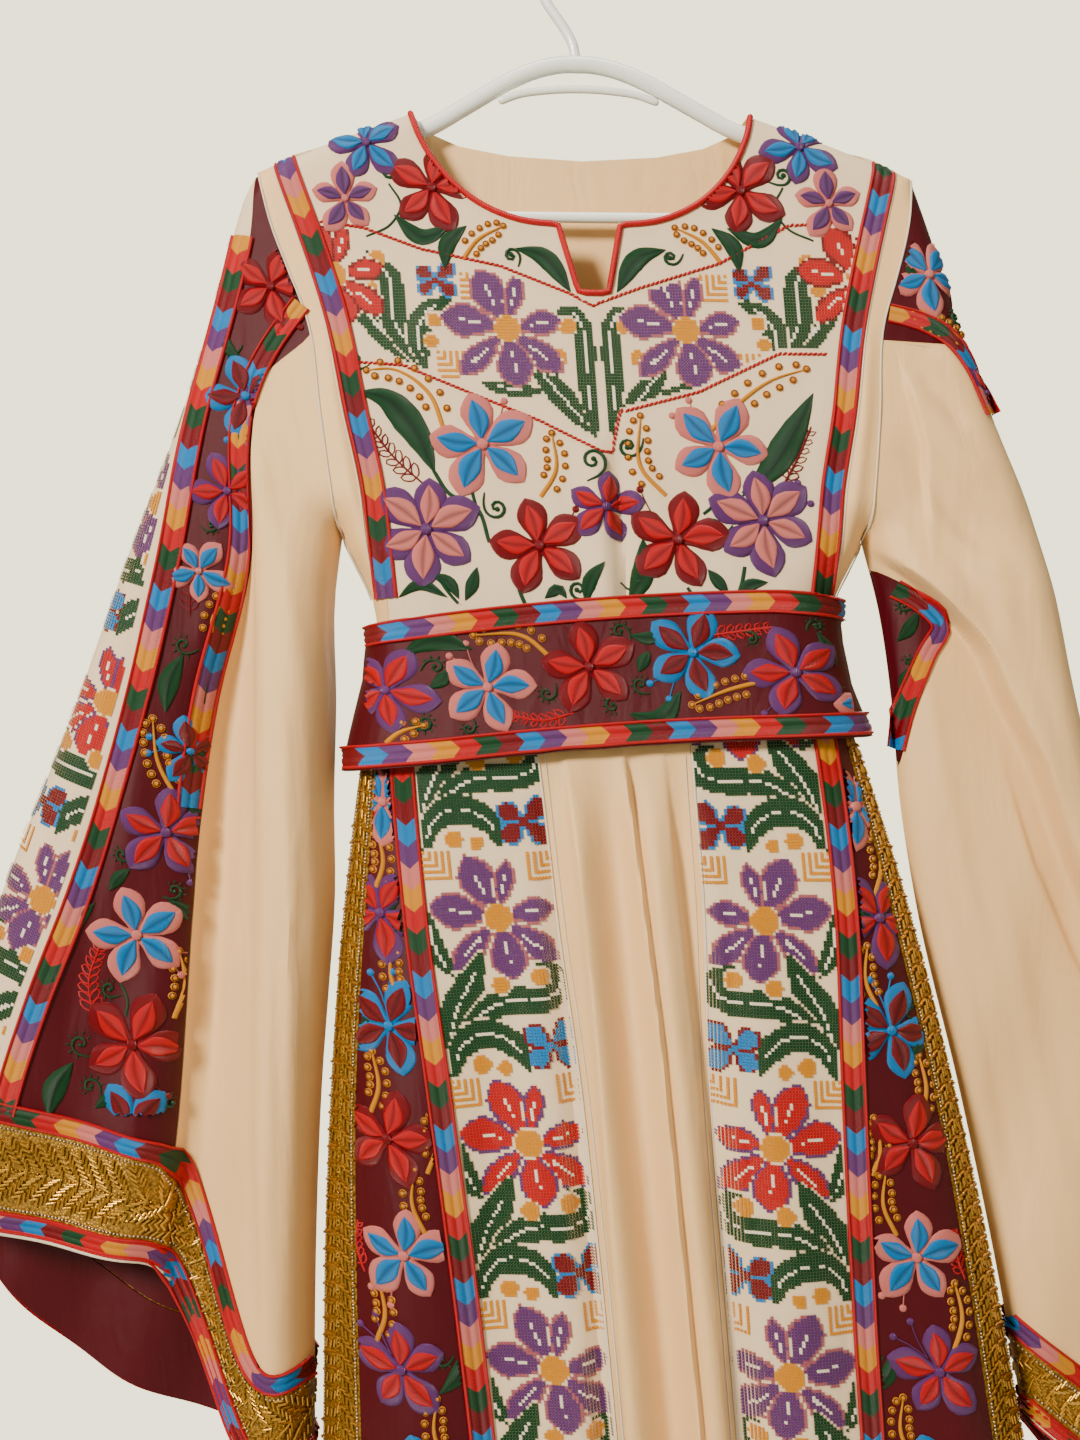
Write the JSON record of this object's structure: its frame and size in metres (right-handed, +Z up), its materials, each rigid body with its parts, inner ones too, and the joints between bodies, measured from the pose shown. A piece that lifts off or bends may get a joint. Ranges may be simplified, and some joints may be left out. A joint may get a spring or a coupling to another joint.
{
  "type": "embroidered thobe dress on a clothes hanger",
  "caption": "Long embroidered dress with a belted waist, pleated skirt front and wide hanging sleeves, on a plastic clothes hanger.",
  "frame": {"origin": "inside top of the hanger's hook, where it rests on a rail", "axes": "+Z up; -Y is the front of the dress; +X runs to the viewer's right along the shoulders"},
  "size_m": [0.8434, 0.1849, 1.5806],
  "materials": {
    "beige_crepe": "satin",
    "cream_crepe": "satin",
    "maroon_satin": "satin",
    "gold_beads": "glossy",
    "braid": "satin",
    "red_cord": "satin",
    "white_plastic": "gloss"
  },
  "bodies": {
    "root": {"belt_back": "maroon_satin", "belt_braid_bottom_back": "braid", "belt_braid_bottom_front": "braid", "belt_braid_top_back": "braid", "belt_braid_top_front": "braid", "belt_front": "maroon_satin", "bodice_back": "beige_crepe", "bodice_bib_front": "cream_crepe", "bodice_side_front_left": "beige_crepe", "bodice_side_front_right": "beige_crepe", "chest_braid_left": "braid", "chest_braid_right": "braid", "hanger_arm_left": "white_plastic", "hanger_arm_right": "white_plastic", "hanger_bar": "white_plastic", "hanger_hook": "white_plastic", "hanger_strap_bar": "white_plastic", "neck_piping": "red_cord", "skirt_back": "beige_crepe", "skirt_braid_left": "braid", "skirt_braid_right": "braid", "skirt_centre_front": "beige_crepe", "skirt_gold_left": "gold_beads", "skirt_gold_right": "gold_beads", "skirt_maroon_left": "maroon_satin", "skirt_maroon_right": "maroon_satin", "skirt_strip_left": "cream_crepe", "skirt_strip_right": "cream_crepe", "sleeve_left_braid_outer": "braid", "sleeve_left_facing": "maroon_satin", "sleeve_left_gold_back": "gold_beads", "sleeve_left_gold_front": "gold_beads", "sleeve_left_gore_back": "beige_crepe", "sleeve_left_gore_front": "beige_crepe", "sleeve_left_maroon_back": "maroon_satin", "sleeve_left_maroon_front": "maroon_satin", "sleeve_left_strip_back": "cream_crepe", "sleeve_left_strip_front": "cream_crepe", "sleeve_right_facing": "maroon_satin", "sleeve_right_gold_back": "gold_beads", "sleeve_right_gold_front": "gold_beads", "sleeve_right_gore_back": "beige_crepe", "sleeve_right_gore_front": "beige_crepe", "sleeve_right_maroon_back": "maroon_satin", "sleeve_right_maroon_front": "maroon_satin", "sleeve_right_maroon_outer_back": "maroon_satin", "sleeve_right_strip_back": "cream_crepe", "sleeve_right_underarm_front": "maroon_satin"}
  },
  "joints": []
}
